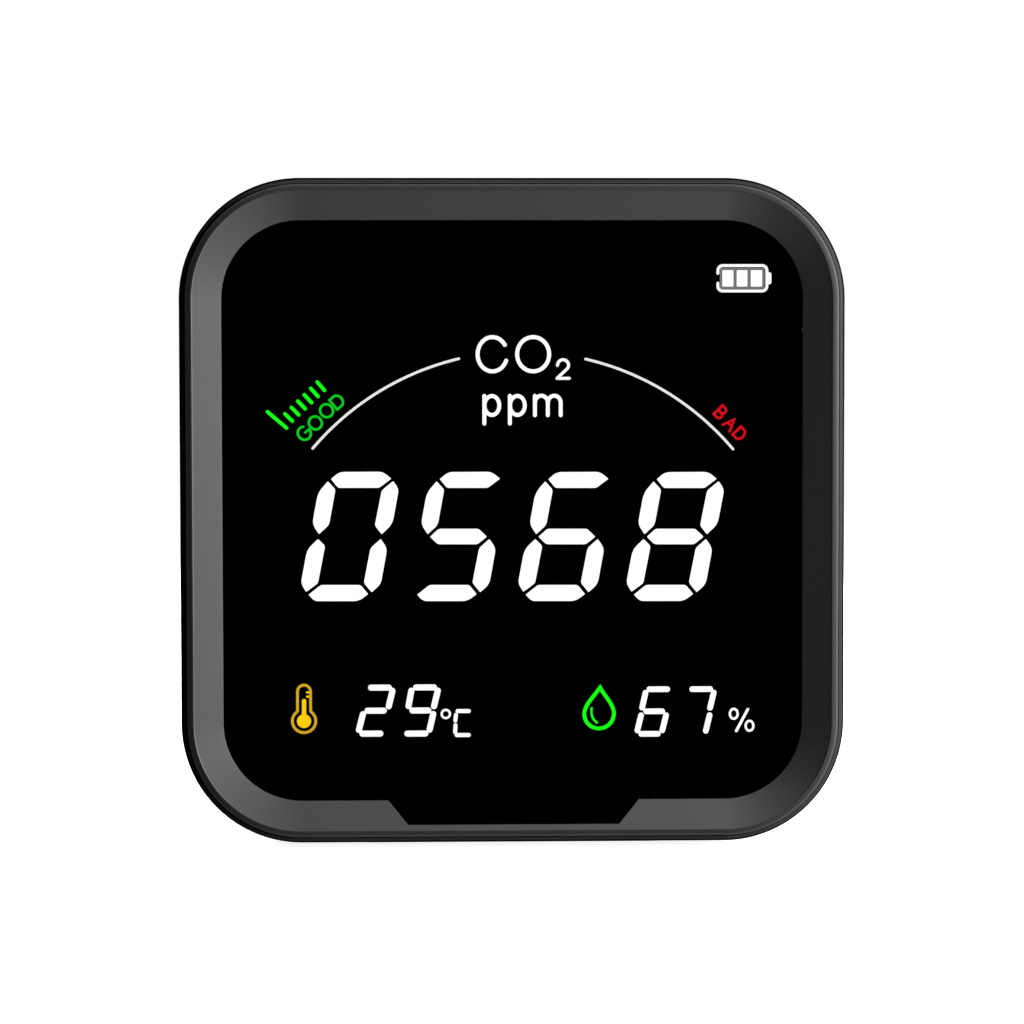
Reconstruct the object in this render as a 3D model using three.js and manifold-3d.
// Desktop carbon dioxide monitor with temperature and humidity readout.
// Square body with large corner radii: a dished front frame holds a smoked lens with a
// trapezoid tab, and a deep rear case closes the body from behind.
//
// Frame: millimetres, +Z up, the display faces -Y, origin on the ground under the middle
// of the body. Inside the `body` group Z is measured from the middle of the square face.
import * as THREE from "three";
import { mergeVertices } from "three/addons/utils/BufferGeometryUtils.js";
import Module from "manifold-3d";

const wasm = await Module();
wasm.setup();

// ---------------------------------------------------------------- driving dimensions
const HALF = 86 / 2; // half the outer width and height of the rear case
const CORNER_R = 15.6;
const FRONT_Y = -17; // crest of the front frame
const REAR_Y = 17;
const FOOT_PROUD = 0.8; // feet below the case

const WALL = 2; // rear case wall
const SHELF_Y = -13.6; // seat of the front frame in the rear case

const FRAME_HALF = 42.15;
const FRAME_BACK = -12.4;
const LENS_HALF = 37.5; // inner edge of the dished bevel
const LENS_R = 10.1;
const LENS_Y = -15.35; // front face of the lens
const LENS_T = 1.2;
const WINDOW = { width: 68.4, height: 66.8, radius: 3.5, steps: 5 }; // opening behind the lens

const BOSS = { x: 37.9, z: 22 }; // case screws, mirrored to four corners
const POST = { x: 37.8, z: 9 }; // main board posts, likewise

const BOARD_Y = -6; // front face of the main board
const BOARD_T = 1.6;
const GAP = 0.05; // between parts that touch
const PARTS_Y = BOARD_Y + BOARD_T + GAP; // parts on the board's rear face

const KEY = { y: 3, width: 10, depth: 5 };
const KEY_X = { power: -15, mode: 0, alarm: 15 };
const KEY_BOARD_TOP = 35.8;
const KEY_BOARD_SCREW_X = 25;

const POWER_BOARD_TOP = -35.7;
const POWER_SCREW = { x: 16, y: 4 };
const SMALL_BOARD_T = 1.2;
const USB_Z = -34.05;
const FOOT_Y = 8.5;

const SIDES = [-1, 1];
const CORNERS = SIDES.flatMap((sx) => SIDES.map((sz) => [sx, sz]));

// ---------------------------------------------------------------- solids
// A closed three.js geometry as a solid that can be joined and cut.
function solid(geometry) {
  const bare = geometry.index ? geometry.toNonIndexed() : geometry.clone();
  bare.deleteAttribute("normal");
  bare.deleteAttribute("uv");
  const merged = mergeVertices(bare, 1e-4);
  const triVerts = new Uint32Array(merged.index.array);
  const vertProperties = new Float32Array(merged.attributes.position.array);
  const build = () =>
    new wasm.Manifold(new wasm.Mesh({ numProp: 3, vertProperties, triVerts }));
  const made = build();
  if (made.volume() >= 0) return made;
  // inside out: turn every triangle round
  for (let i = 0; i < triVerts.length; i += 3)
    [triVerts[i + 1], triVerts[i + 2]] = [triVerts[i + 2], triVerts[i + 1]];
  return build();
}

function geometryOf(made) {
  const mesh = made.getMesh();
  const geometry = new THREE.BufferGeometry();
  geometry.setAttribute("position", new THREE.Float32BufferAttribute(mesh.vertProperties, 3));
  geometry.setIndex(new THREE.Uint32BufferAttribute(mesh.triVerts, 1));
  geometry.computeVertexNormals();
  return geometry;
}

// Both take solids or closed geometries.
const asSolid = (part) => (part.isBufferGeometry ? solid(part) : part);
const join = (...parts) => parts.map(asSolid).reduce((a, b) => a.add(b));
const cut = (...parts) => parts.map(asSolid).reduce((a, b) => a.subtract(b));

// ---------------------------------------------------------------- outlines
const toVectors = (points) => points.map(([x, y]) => new THREE.Vector2(x, y));
const polygon = (points) => new THREE.Shape(toVectors(points));

function arc(cx, cy, radius, start, sweep, steps) {
  return Array.from({ length: steps + 1 }, (_, i) => {
    const angle = start + (i / steps) * sweep;
    return [cx + radius * Math.cos(angle), cy + radius * Math.sin(angle)];
  });
}

function circle(radius, sides) {
  return polygon(arc(0, 0, radius, 0, 2 * Math.PI, sides).slice(0, -1));
}

// Corner points of a rounded rectangle, counter-clockwise from the lower right corner.
function roundPoints(w, h, r, steps = 10, [cx, cy] = [0, 0]) {
  const corners = [
    [1, -1, -Math.PI / 2],
    [1, 1, 0],
    [-1, 1, Math.PI / 2],
    [-1, -1, Math.PI],
  ];
  return corners.flatMap(([sx, sy, start]) =>
    arc(cx + sx * (w / 2 - r), cy + sy * (h / 2 - r), r, start, Math.PI / 2, steps),
  );
}
const roundRect = (...sizes) => polygon(roundPoints(...sizes));
const roundSquare = (half, r) => roundRect(2 * half, 2 * half, r);

// A slot with round ends, longer along the first axis; `steps` per quarter turn.
function stadium(w, h, steps, [cx, cy] = [0, 0]) {
  return polygon(
    SIDES.toReversed().flatMap((side) =>
      arc(cx + side * (w / 2 - h / 2), cy, h / 2, (-side * Math.PI) / 2, Math.PI, 2 * steps),
    ),
  );
}

function ring(outer, hole) {
  const shape = polygon(outer);
  shape.holes.push(new THREE.Path(toVectors(hole)));
  return shape;
}

// A thin strip along a polyline, mitred at the bends.
function strip(points, thickness) {
  const left = [];
  const right = [];
  points.forEach(([x, y], i) => {
    const before = points[Math.max(i - 1, 0)];
    const after = points[Math.min(i + 1, points.length - 1)];
    const into = new THREE.Vector2(x - before[0], y - before[1]);
    const out = new THREE.Vector2(after[0] - x, after[1] - y);
    if (!into.lengthSq()) into.copy(out);
    if (!out.lengthSq()) out.copy(into);
    into.normalize();
    out.normalize();
    const normal = new THREE.Vector2(-(into.y + out.y), into.x + out.x).normalize();
    const across = normal.dot(new THREE.Vector2(-into.y, into.x));
    const reach = thickness / 2 / Math.max(0.5, across);
    left.push([x + normal.x * reach, y + normal.y * reach]);
    right.push([x - normal.x * reach, y - normal.y * reach]);
  });
  return polygon([...right, ...left.reverse()]);
}

// ---------------------------------------------------------------- bodies
// `edge` rounds both ends inwards in `steps` steps; one step gives a chamfer.
function extrude(shape, length, edge = 0, steps = 0) {
  return new THREE.ExtrudeGeometry(shape, {
    depth: length - 2 * edge,
    bevelEnabled: edge > 0,
    bevelSize: edge,
    bevelOffset: -edge,
    bevelThickness: edge,
    bevelSegments: steps,
  });
}
// X-Z shape extruded along Y
function plate(shape, y0, y1, edge = 0, steps = 0) {
  return extrude(shape, y1 - y0, edge, steps).rotateX(Math.PI / 2).translate(0, y1 - edge, 0);
}
// X-Y shape extruded along Z
function slab(shape, z0, z1, edge = 0, steps = 0) {
  return extrude(shape, z1 - z0, edge, steps).translate(0, 0, z0 + edge);
}
// Y-Z shape extruded along X
const YZ_TO_X = new THREE.Matrix4().makeBasis(
  new THREE.Vector3(0, 1, 0),
  new THREE.Vector3(0, 0, 1),
  new THREE.Vector3(1, 0, 0),
);
const bar = (shape, x0, x1) => extrude(shape, x1 - x0).applyMatrix4(YZ_TO_X).translate(x0, 0, 0);

// Boxes and rods take spans [from, to], whose ends may come in either order.
const around = (half, middle = 0) => [middle - half, middle + half];
const lengthOf = ([a, b]) => Math.abs(b - a);
const middleOf = ([a, b]) => (a + b) / 2;

const box = (...spans) =>
  new THREE.BoxGeometry(...spans.map(lengthOf)).translate(...spans.map(middleOf));
const rod = (radius, span, sides) =>
  new THREE.CylinderGeometry(radius, radius, lengthOf(span), sides);
const rodX = (radius, span, [y, z], sides = 20) =>
  rod(radius, span, sides).rotateZ(Math.PI / 2).translate(middleOf(span), y, z);
const rodY = (radius, span, [x, z], sides = 20) =>
  rod(radius, span, sides).translate(x, middleOf(span), z);
const rodZ = (radius, span, [x, y], sides = 20) =>
  rod(radius, span, sides).rotateX(Math.PI / 2).translate(x, y, middleOf(span));

// A round lead along a curve.
function lead(points, radius, steps = 18) {
  const extrudePath = new THREE.CatmullRomCurve3(points.map((p) => new THREE.Vector3(...p)));
  return new THREE.ExtrudeGeometry(circle(radius, 8), { steps, extrudePath });
}

// A pan-head screw along Y: underside of the head at y = 0, head towards +Y, cross recess.
function screw({ shankR, length, headR, headH }) {
  const profile = [
    [0, -length],
    [shankR * 0.35, -length + 0.05],
    [shankR, -length + 1.2],
    [shankR, 0],
    [headR, 0],
    [headR, headH * 0.55],
    [headR * 0.72, headH],
    [0, headH],
  ];
  const recess = [headH * 0.45, headH + 1];
  const long = around(headR * 0.62);
  const narrow = around(headR * 0.15);
  return cut(
    new THREE.LatheGeometry(toVectors(profile), 14),
    box(long, recess, narrow),
    box(narrow, recess, long),
  );
}

// ---------------------------------------------------------------- materials
const paint = (options) => new THREE.MeshStandardMaterial(options);
const GREY_ABS = paint({ color: 0x4b4b4d, roughness: 0.45 });
const BLACK_ABS = paint({ color: 0x1c1c1d, roughness: 0.55 });
const SMOKED = paint({ color: 0x050506, roughness: 0.08, transparent: true, opacity: 0.6 });
const TAPE = paint({ color: 0x111111, roughness: 0.9 });
const GLASS = paint({ color: 0x0a0c10, roughness: 0.1 });
const FILM = paint({ color: 0x20262c, roughness: 0.4 });
const ACRYLIC = paint({ color: 0xdfe8ee, roughness: 0.15 });
const WHITE_PC = paint({ color: 0xe9e9e4, roughness: 0.5 });
const PCB_GREEN = paint({ color: 0x12402a, roughness: 0.4 });
const PCB_BLACK = paint({ color: 0x15181a, roughness: 0.4 });
const FPC = paint({ color: 0x9a5a1c, roughness: 0.4 });
const CHIP = paint({ color: 0x17181a, roughness: 0.5 });
const GOLD = paint({ color: 0xc9a24a, roughness: 0.3, metalness: 1 });
const STEEL = paint({ color: 0xb9bcc0, roughness: 0.35, metalness: 1 });
const NICKEL = paint({ color: 0xc9cacc, roughness: 0.25, metalness: 1 });
const FELT = paint({ color: 0xf0f0ec, roughness: 0.9 });
const KEY_ABS = paint({ color: 0x2a2a2c, roughness: 0.5 });
const CELL = paint({ color: 0xb7bcc4, roughness: 0.35, metalness: 0.8 });
const FOAM = paint({ color: 0x2b2b2b, roughness: 0.95 });
const RED = paint({ color: 0xb01616, roughness: 0.45 });
const BLACK_PVC = paint({ color: 0x101010, roughness: 0.45 });
const NYLON = paint({ color: 0xe8e4d8, roughness: 0.5 });
const RUBBER = paint({ color: 0x161616, roughness: 0.85 });

// ---------------------------------------------------------------- scene graph
const monitor = new THREE.Group();
const body = new THREE.Group();
body.position.z = HALF + FOOT_PROUD;
monitor.add(body);

function add(name, shape, material, position = [0, 0, 0]) {
  const mesh = new THREE.Mesh(shape.isBufferGeometry ? shape : geometryOf(shape), material);
  mesh.name = name;
  mesh.position.set(...position);
  body.add(mesh);
  return mesh;
}

// ---------------------------------------------------------------- front frame
// Lens outline, smaller by `gap`: rounded square with a trapezoid tab on its lower edge.
function lensPoints(gap) {
  const tab = { topHalf: 16.3, lowHalf: 13.67, lowZ: -40.6 };
  const half = LENS_HALF - gap;
  const topX = tab.topHalf - gap;
  const lowX = tab.lowHalf - gap * 0.8;
  const lowZ = tab.lowZ + gap;
  return [
    ...roundPoints(2 * half, 2 * half, LENS_R - gap),
    [-topX, -half],
    [-lowX, lowZ],
    [lowX, lowZ],
    [topX, -half],
  ];
}

// Cutter for the dished bevel: a frustum that narrows towards the lens.
function dish(crestHalf) {
  return new THREE.ExtrudeGeometry(roundSquare(LENS_HALF, LENS_R), {
    depth: 3,
    bevelEnabled: true,
    bevelSize: crestHalf - LENS_HALF,
    bevelThickness: 1.6, // fall from crest to lens
    bevelSegments: 1,
  })
    .rotateX(Math.PI / 2)
    .translate(0, FRONT_Y, 0);
}

function frontFrame() {
  const lip = 0.9; // rounding of the outer front edge
  const fit = 0.2; // clearance inside the rear case
  const outer = roundSquare(FRAME_HALF, CORNER_R - (HALF - FRAME_HALF));
  const plug = roundSquare(HALF - WALL - fit, CORNER_R - WALL - fit);
  const window = roundRect(WINDOW.width, WINDOW.height, WINDOW.radius, WINDOW.steps);
  let frame = cut(
    plate(outer, FRONT_Y, 5, lip, 4),
    box(around(60), [SHELF_Y - 0.1, 20], around(60)), // keep only the part before the shelf
  );
  // a narrower part enters the rear case
  frame = join(frame, plate(plug, SHELF_Y - 0.5, FRAME_BACK));
  frame = cut(
    frame,
    dish(FRAME_HALF - lip),
    plate(polygon(lensPoints(0)), FRONT_Y - 2, LENS_Y + LENS_T + 0.25), // lens pocket
    plate(window, -20, 0),
  );
  // columns for the case screws, bored posts above and pegged posts below for the main board
  const root = FRAME_BACK - 0.6;
  for (const [sx, sz] of CORNERS) {
    const column = [sx * BOSS.x, sz * BOSS.z];
    const post = [sx * POST.x, sz * POST.z];
    frame = join(frame, rodY(2.4, [root, 9.9], column));
    frame = cut(frame, rodY(1.05, [2.5, 12], column, 14));
    frame = join(frame, rodY(2.2, [root, BOARD_Y - GAP], post));
    frame =
      sz > 0
        ? cut(frame, rodY(0.85, [-11, -3], post, 14))
        : join(frame, rodY(1, [-8, -3.9], post, 14));
  }
  return frame;
}
add("front_frame", frontFrame(), GREY_ABS);

// ---------------------------------------------------------------- lens and display
function lensTape() {
  const oversize = 0.6; // hole larger than the window
  const hole = roundPoints(
    WINDOW.width + oversize,
    WINDOW.height + oversize,
    WINDOW.radius,
    WINDOW.steps,
  );
  return plate(ring(lensPoints(0.4), hole), -14.12, -13.93);
}
add("front_lens", plate(polygon(lensPoints(0.1)), LENS_Y, LENS_Y + LENS_T), SMOKED);
add("lens_tape", lensTape(), TAPE);

// Flat layers, front to rear: name, half width, y span, z span, material.
for (const [name, halfWidth, ySpan, zSpan, material] of [
  ["lcd_front_glass", 35, [-12.35, -11.65], [-31.8, 34.4], GLASS],
  ["lcd_rear_glass", 35, [-11.6, -10.9], [-34.4, 34.4], GLASS],
  ["colour_film", 34.9, [-10.85, -10.6], [-34.2, 34.2], FILM],
  ["light_guide", 34.2, [-10.5, -8], [-33.5, 31.6], ACRYLIC],
])
  add(name, box(around(halfWidth), ySpan, zSpan), material);

function ledStrip() {
  const ledPitch = 10;
  let leds = box(around(31), [-8.6, -8], [32, 33.6]);
  for (let i = 0; i < 6; i++) {
    const led = box(around(1.2, (i - 2.5) * ledPitch), [-10.2, -8.3], [32.05, 33.2]);
    leds = join(leds, led);
  }
  return leds;
}
add("backlight_led_strip", ledStrip(), WHITE_PC);

function backlightTray() {
  const pegX = 28;
  let tray = cut(
    plate(roundRect(70.4, 69.2, 1.2, 3), -10.55, -6.85),
    plate(roundRect(68.8, 67.6, 0.6, 2), -12, -7.9),
    box(around(8), [-12, -5], [30.5, 33]), // notch at the top
  );
  for (const z of [27, -26])
    for (const sx of SIDES)
      tray = join(tray, rodY(1.6, [-7.2, BOARD_Y - GAP], [sx * pegX, z], 12));
  return tray;
}
add("backlight_tray", backlightTray(), WHITE_PC);

// Flat ribbons bent in the Y-Z plane; path points are y, z.
const RIBBON_T = 0.2;
function addRibbon(name, path, x0, x1) {
  add(name, bar(strip(path, RIBBON_T), x0, x1), FPC);
}
const DISPLAY_RIBBON = [
  [-11.85, -32.3], [-11.85, -35.1], [-11.5, -35.7], [-10.8, -35.95],
  [-4.8, -35.95], [-4.0, -35.7], [-3.7, -35.0], [-3.7, -28.4],
];
addRibbon("display_ribbon", DISPLAY_RIBBON, -12, 12);

// ---------------------------------------------------------------- main board
function mainBoard() {
  const through = [-8, 0];
  let board = solid(plate(roundRect(80.4, 62, 4, 5), BOARD_Y, BOARD_Y + BOARD_T));
  for (const sx of SIDES) {
    // side notches clear the screw columns
    for (const sz of SIDES)
      board = cut(board, box([sx * 35.1, sx * 42], through, around(2.8, sz * BOSS.z)));
    board = cut(
      board,
      rodY(1.2, through, [sx * POST.x, POST.z], 14),
      rodY(1.12, through, [sx * POST.x, -POST.z], 14),
    );
  }
  return board;
}
add("main_board", mainBoard(), PCB_GREEN);

function ribbonSocket() {
  return cut(
    box(around(13.4), [PARTS_Y, PARTS_Y + 1.5], [-29.6, -26]),
    box(around(12.2), [-3.9, -3.5], [-31, -28.2]),
  );
}
add("ribbon_socket", ribbonSocket(), NYLON);

function mcuChip() {
  const x = -4;
  const z = -6;
  const half = 3.5;
  const top = PARTS_Y + 1.5;
  const pins = { count: 8, pitch: 0.8, reach: 0.9, height: 0.5 };
  let chip = solid(box(around(half, x), [PARTS_Y + 0.15, top], around(half, z)));
  for (let i = 0; i < pins.count; i++) {
    const pinZ = z + (i - (pins.count - 1) / 2) * pins.pitch;
    const pin = box(
      around(half + pins.reach, x),
      [PARTS_Y, PARTS_Y + pins.height],
      around(pins.pitch * 0.22, pinZ),
    );
    chip = join(chip, pin);
  }
  const dotInset = 0.9;
  const dot = [x - half + dotInset, z + half - dotInset];
  return cut(chip, rodY(0.35, [top - 0.1, top + 1], dot, 8));
}
add("mcu_chip", mcuChip(), CHIP);

function buzzer() {
  const at = [27, 15];
  const span = (from, to) => [PARTS_Y + from, PARTS_Y + to];
  const can = cut(rodY(6, span(0, 5.6), at, 28), rodY(5.4, span(5.3, 7), at, 28));
  const lid = rodY(5.2, span(5, 5.5), at, 24);
  const soundHole = rodY(1.1, span(3, 7), at, 12);
  return cut(join(can, lid), soundHole);
}
add("buzzer", buzzer(), CHIP);

// ---------------------------------------------------------------- infrared CO2 sensor
const SENSOR_Z = 18;
const HEADER_X = 14.8;
const SENSOR_TUBE = [2.1, SENSOR_Z]; // y, z axis of lamp and detector
const PIN_Z = Array.from({ length: 6 }, (_, i) => SENSOR_Z - 6.4 + i * 2.54);

function sensorHeader(x) {
  const block = box(around(1.25, x), [PARTS_Y, -2.4], around(9, SENSOR_Z));
  const slots = PIN_Z.map((z) => box(around(2, x), [PARTS_Y + 0.6, -2], around(0.5, z)));
  return cut(block, ...slots);
}
add("sensor_header_left", sensorHeader(-HEADER_X), CHIP);
add("sensor_header_right", sensorHeader(HEADER_X), CHIP);

function sensorBoard() {
  const holes = SIDES.flatMap((sx) => PIN_Z.map((z) => rodY(0.45, [-3, 0], [sx * HEADER_X, z], 8)));
  return cut(plate(roundRect(34, 20, 1, 3, [0, SENSOR_Z]), -2.35, -1.15), ...holes);
}
add("co2_sensor_board", sensorBoard(), PCB_BLACK);

function sensorChamber() {
  const slotPitch = 2.2;
  let chamber = cut(
    plate(roundRect(24, 16, 2.5, 4, [0, SENSOR_Z]), -1.1, 5.4, 0.5, 1),
    ...SIDES.map((sx) => rodX(2.75, [sx * 10.6, sx * 14], SENSOR_TUBE, 16)),
  );
  for (let i = 0; i < 5; i++) {
    const slot = stadium(13, 1.2, 3, [0, SENSOR_Z + (i - 2) * slotPitch]);
    chamber = cut(chamber, plate(slot, 4.2, 7));
  }
  return chamber;
}
add("co2_sensor_chamber", sensorChamber(), GOLD);
add("co2_sensor_membrane", plate(roundRect(17, 12, 1, 3, [0, SENSOR_Z]), 5.45, 5.95), FELT);

// Can with a wider outer flange, at the left or right end of the chamber.
function sensorCan(sx) {
  return join(
    rodX(2.6, [sx * 10.8, sx * 13.6], SENSOR_TUBE, 16),
    rodX(3, [sx * 13.5, sx * 14.2], SENSOR_TUBE, 16),
  );
}
add("infrared_lamp", sensorCan(-1), STEEL);
add("infrared_detector", sensorCan(1), STEEL);

// ---------------------------------------------------------------- climate sensor
// Temperature and humidity sensor upright at the left wall.
function climateBoard() {
  return cut(
    box([-39.6, -38.8], [1, 11], around(6)),
    // L-shaped slit beside the chip
    box([-41, -38], [5.6, 9.6], [0.7, 1.3]),
    box([-41, -38], [5.6, 6.2], [-3.4, 0.8]),
  );
}
function climateChip() {
  const port = rodX(0.5, [-41, -40.2], [8.1, -1.3], 10);
  return cut(box([-40.55, -39.65], [6.8, 9.4], [-2.6, 0]), port);
}
const CLIMATE_CABLE = [
  [-38.7, 3, 3.6], [-37.2, 2.8, 3.7], [-34.6, 1.2, 4.2],
  [-32.6, -0.8, 4.8], [-32.0, -2.6, 5], [-32.0, -4.1, 5],
]; // x, y, z
add("climate_sensor_board", climateBoard(), PCB_BLACK);
add("climate_sensor_chip", climateChip(), CHIP);
add("climate_cable", lead(CLIMATE_CABLE, 0.7, 12), BLACK_PVC);

// ---------------------------------------------------------------- key board and keys
function keyBoard() {
  const outline = roundRect(57, 13, 1.5, 3, [0, KEY.y]);
  return cut(
    slab(outline, KEY_BOARD_TOP - SMALL_BOARD_T, KEY_BOARD_TOP),
    ...SIDES.map((sx) => rodZ(1.2, [30, 40], [sx * KEY_BOARD_SCREW_X, KEY.y], 14)),
  );
}
add("key_board", keyBoard(), PCB_GREEN);

const SWITCH_TOP = KEY_BOARD_TOP + 3.45;
const PLUNGER_HALF = 0.65; // half height; the plunger's middle is level with the switch top
const KEY_TOP = HALF - 0.1;

// Switch body with a round well for its plunger and four terminals.
function switchBody(x) {
  const base = KEY_BOARD_TOP + GAP;
  let part = cut(
    box(around(3, x), around(3, KEY.y), [base, SWITCH_TOP]),
    rodZ(1.8, [KEY_BOARD_TOP + 2.2, KEY_BOARD_TOP + 6], [x, KEY.y], 18),
  );
  for (const [sx, sy] of CORNERS) {
    const ends = [x + sx * 2.9, x + sx * 3.9];
    part = join(part, box(ends, around(0.35, KEY.y + sy * 2.2), [base, base + 0.3]));
  }
  return part;
}

// Cap through the top wall, flange under it, stem down to just above the plunger.
function button() {
  const overhang = 2.4;
  const stemLow = SWITCH_TOP + PLUNGER_HALF + GAP - KEY_TOP;
  const flange = roundRect(KEY.width + overhang, KEY.depth + overhang, 2.4, 4);
  return join(
    slab(roundRect(KEY.width, KEY.depth, 2.2, 5), -2.6, 0, 0.35, 2),
    slab(flange, -2.9, -2.1),
    rodZ(1.5, [stemLow, -2.5], [0, 0], 16),
  );
}

for (const [key, x] of Object.entries(KEY_X)) {
  const plunger = solid(slab(circle(1.7, 18), -PLUNGER_HALF, PLUNGER_HALF, 0.15, 1));
  add(key + "_switch_body", switchBody(x), CHIP);
  add(key + "_switch_plunger", plunger, NYLON, [x, KEY.y, SWITCH_TOP]);
  add(key + "_button", button(), KEY_ABS, [x, KEY.y, KEY_TOP]);
}

const KEY_RIBBON = [[0.5, 34.45], [-2.6, 34.45], [-3.4, 34.2], [-3.75, 33.4], [-3.75, 29.2]];
addRibbon("key_ribbon", KEY_RIBBON, -27, -19);

// ---------------------------------------------------------------- power board and USB-C socket
function powerBoard() {
  const outline = roundRect(40, 17, 1, 3, [0, 6.1]);
  return cut(
    slab(outline, POWER_BOARD_TOP - SMALL_BOARD_T, POWER_BOARD_TOP),
    ...SIDES.map((sx) => rodZ(1.2, [-45, -30], [sx * POWER_SCREW.x, POWER_SCREW.y], 14)),
  );
}
add("power_board", powerBoard(), PCB_GREEN);

const usbSlot = (width, height) => stadium(width, height, 6, [0, USB_Z]);
const usbShell = cut(plate(usbSlot(8.9, 3.2), 9, 16.3), plate(usbSlot(8.3, 2.6), 9.9, 20));
add("usb_c_shell", usbShell, NICKEL);
add("usb_c_tongue", box(around(3.35), [9.95, 15.5], around(0.35, USB_Z)), CHIP);

function chargerChip() {
  const base = POWER_BOARD_TOP + GAP;
  const pinPitch = 1.27;
  let chip = box([-12.5, -7.5], [1, 5], [base + 0.1, base + 1.4]);
  for (let i = 0; i < 4; i++)
    chip = join(chip, box(around(0.2, -11.9 + i * pinPitch), [0, 6], [base, base + 0.5]));
  return chip;
}
add("charger_chip", chargerChip(), CHIP);

const POWER_RIBBON = [[0.4, -35.55], [-2.4, -35.55], [-3.3, -35.2], [-3.7, -34.4], [-3.7, -29]];
addRibbon("power_ribbon", POWER_RIBBON, 13.6, 18.4);

// ---------------------------------------------------------------- battery
function batterySocket() {
  return cut(
    box([-34.4, -27.4], [PARTS_Y, 0.8], [-23.9, -18]),
    box([-33.5, -28.3], [PARTS_Y + 0.9, -0.1], [-23, -16]),
  );
}
function batteryPlug() {
  return join(
    box([-33.4, -28.4], [PARTS_Y + 1, -0.2], [-22.8, -14.5]),
    box([-34.2, -27.6], [PARTS_Y + 1.4, -0.6], [-17.8, -15.3]),
  );
}
// Lead from the cell to the plug, shifted by dx at the plug and by dz at the cell.
function batteryLead(dx, dz) {
  const x = -30.9 + dx;
  const path = [
    [-25.1, 10.6, -6 + dz],
    [-27.4, 10.5, -6.2 + dz],
    [-30.2 + dx * 0.6, 8.2, -8 + dz * 0.8],
    [x, 3.4, -10.2 + dz * 0.4],
    [x, -0.6, -11.8],
    [x, -1.75, -13.2],
    [x, -1.75, -14.35],
  ];
  return lead(path, 0.65);
}
const CELL_MIDDLE = [0, -14]; // x, z
const cell = solid(plate(roundRect(50, 34, 3, 4, CELL_MIDDLE), 6.6, 14.6, 1.6, 2));
add("battery_socket", batterySocket(), NYLON);
add("battery_plug", batteryPlug(), NYLON);
add("battery_cell", cell, CELL);
add("battery_pad", plate(roundRect(40, 24, 1, 2, CELL_MIDDLE), 14.65, 14.95), FOAM);
add("battery_lead_red", batteryLead(-1.1, 1.3), RED);
add("battery_lead_black", batteryLead(1.1, -1.3), BLACK_PVC);

// ---------------------------------------------------------------- rear case
function caseShell() {
  const rimY = -15.6;
  const rebateHalf = 42.4; // recess in the rim that takes the front frame
  const outer = roundSquare(HALF, CORNER_R);
  const inner = roundSquare(HALF - WALL, CORNER_R - WALL);
  const rebate = roundSquare(rebateHalf, CORNER_R - (HALF - rebateHalf));
  // one body carries the rear fillet, the other the rounded rim
  const filleted = solid(plate(outer, rimY - 6, REAR_Y, 4.5, 5));
  const rimmed = solid(plate(outer, rimY, REAR_Y + 6, 0.5, 2));
  return cut(
    filleted.intersect(rimmed),
    plate(inner, rimY - 6, REAR_Y - WALL, 2.5, 3),
    plate(rebate, rimY - 3, SHELF_Y),
  );
}

// Screw bosses with webs to the side walls, counterbored from the rear.
function withScrewBosses(shell) {
  const span = [10, 15.4];
  for (const [sx, sz] of CORNERS) {
    const at = [sx * BOSS.x, sz * BOSS.z];
    const web = box([sx * 38, sx * 41.4], span, around(0.8, at[1]));
    shell = join(shell, rodY(2.9, span, at, 24), web);
    shell = cut(shell, rodY(2.1, [11.8, 20], at, 24), rodY(1.15, [5, 13], at, 14));
  }
  return shell;
}

// Bosses under the top wall and posts on the floor for the two small boards.
function withBoardPosts(shell) {
  const root = 41.3;
  const boreEnd = 40.8;
  for (const sx of SIDES) {
    const upper = [sx * KEY_BOARD_SCREW_X, KEY.y];
    const lower = [sx * POWER_SCREW.x, POWER_SCREW.y];
    shell = join(
      shell,
      rodZ(2.2, [KEY_BOARD_TOP + GAP, root], upper),
      rodZ(2.2, [-root, POWER_BOARD_TOP - SMALL_BOARD_T - GAP], lower),
    );
    shell = cut(
      shell,
      rodZ(0.85, [35, boreEnd], upper, 14),
      rodZ(0.85, [-boreEnd, -36], lower, 14),
    );
  }
  return shell;
}

function withClimateRails(shell) {
  const rails = SIDES.map((sz) => box([-41.4, -38.3], [1, 15.4], [sz * 6.15, sz * 7.4]));
  return join(shell, ...rails);
}

// Air slots in both side walls and the upper rear wall.
function withVents(shell) {
  const pitch = 3.4;
  const width = 1.6;
  for (let i = 0; i < 8; i++) {
    const slot = stadium(17, width, 2, [1, (i - 3.5) * pitch]);
    shell = cut(shell, bar(slot, -50, -38.9), bar(slot, 38.9, 50));
  }
  for (let i = 0; i < 7; i++)
    shell = cut(shell, plate(stadium(34, width, 2, [0, 8 + i * pitch]), 14, 20));
  return shell;
}

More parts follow.
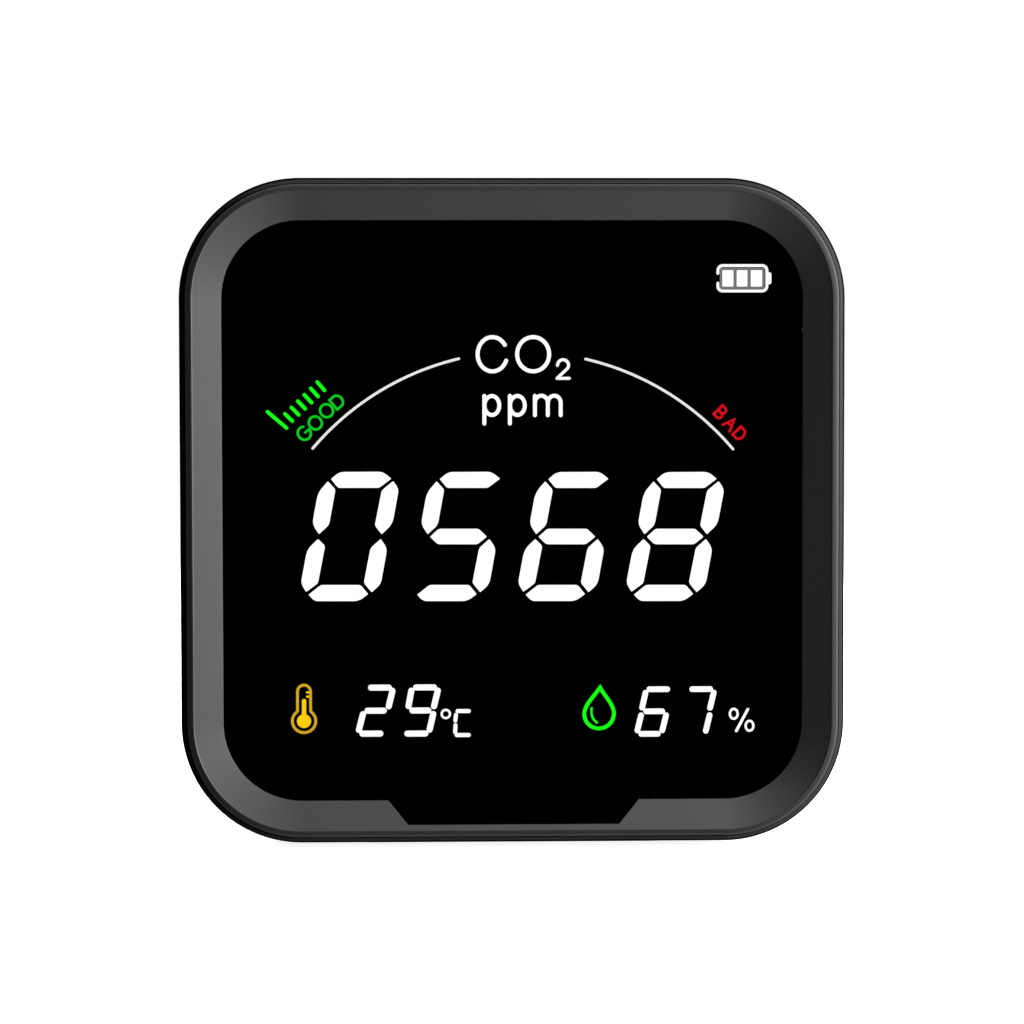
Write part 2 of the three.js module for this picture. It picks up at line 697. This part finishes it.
// Recess and holes for the keys, USB-C opening in a shallow recess, foot recesses.
function withOpenings(shell) {
  const clear = 0.15; // around each key
  const keyHole = (x) =>
    roundRect(KEY.width + 2 * clear, KEY.depth + 2 * clear, 2.3, 5, [x, KEY.y]);
  return cut(
    shell,
    slab(stadium(52, 9.4, 8, [0, KEY.y]), HALF - 0.6, HALF + 5),
    ...Object.values(KEY_X).map((x) => slab(keyHole(x), 40, 50)),
    plate(usbSlot(9.6, 3.9), 10, 20),
    plate(usbSlot(13.4, 7), REAR_Y - 0.7, 20),
    ...SIDES.map((sy) => slab(stadium(42.4, 5.4, 6, [0, sy * FOOT_Y]), -50, -HALF + 0.6)),
  );
}

function rearCase() {
  const fittings = [withScrewBosses, withBoardPosts, withClimateRails, withVents, withOpenings];
  return fittings.reduce((shell, fit) => fit(shell), caseShell());
}
add("rear_case", rearCase(), BLACK_ABS);

function addFoot(name, y) {
  const half = 0.7; // half the thickness
  const foot = solid(slab(stadium(42, 5, 6), -half, half, 0.3, 1));
  add(name, foot, RUBBER, [0, y, -HALF - FOOT_PROUD + half]);
}
addFoot("front_foot", -FOOT_Y);
addFoot("rear_foot", FOOT_Y);

// ---------------------------------------------------------------- screws
const caseScrew = geometryOf(screw({ shankR: 0.95, length: 8, headR: 1.9, headH: 1.4 }));
for (const [row, sz] of [["top", 1], ["bottom", -1]])
  for (const [side, sx] of [["left", -1], ["right", 1]])
    add(`case_screw_${row}_${side}`, caseScrew, STEEL, [sx * BOSS.x, 11.85, sz * BOSS.z]);

const boardScrew = geometryOf(screw({ shankR: 0.78, length: 4.5, headR: 1.75, headH: 1.1 }));
const KEY_SCREW_Z = KEY_BOARD_TOP - SMALL_BOARD_T - GAP;
// name, x on the right, y, z, turn about X (heads rearwards, down and up)
for (const [name, x, y, z, turn] of [
  ["board_screw", POST.x, PARTS_Y, POST.z, 0],
  ["key_board_screw", KEY_BOARD_SCREW_X, KEY.y, KEY_SCREW_Z, -Math.PI / 2],
  ["power_board_screw", POWER_SCREW.x, POWER_SCREW.y, POWER_BOARD_TOP + GAP, Math.PI / 2],
]) {
  add(name + "_left", boardScrew, STEEL, [-x, y, z]).rotation.x = turn;
  add(name + "_right", boardScrew, STEEL, [x, y, z]).rotation.x = turn;
}

export default monitor;
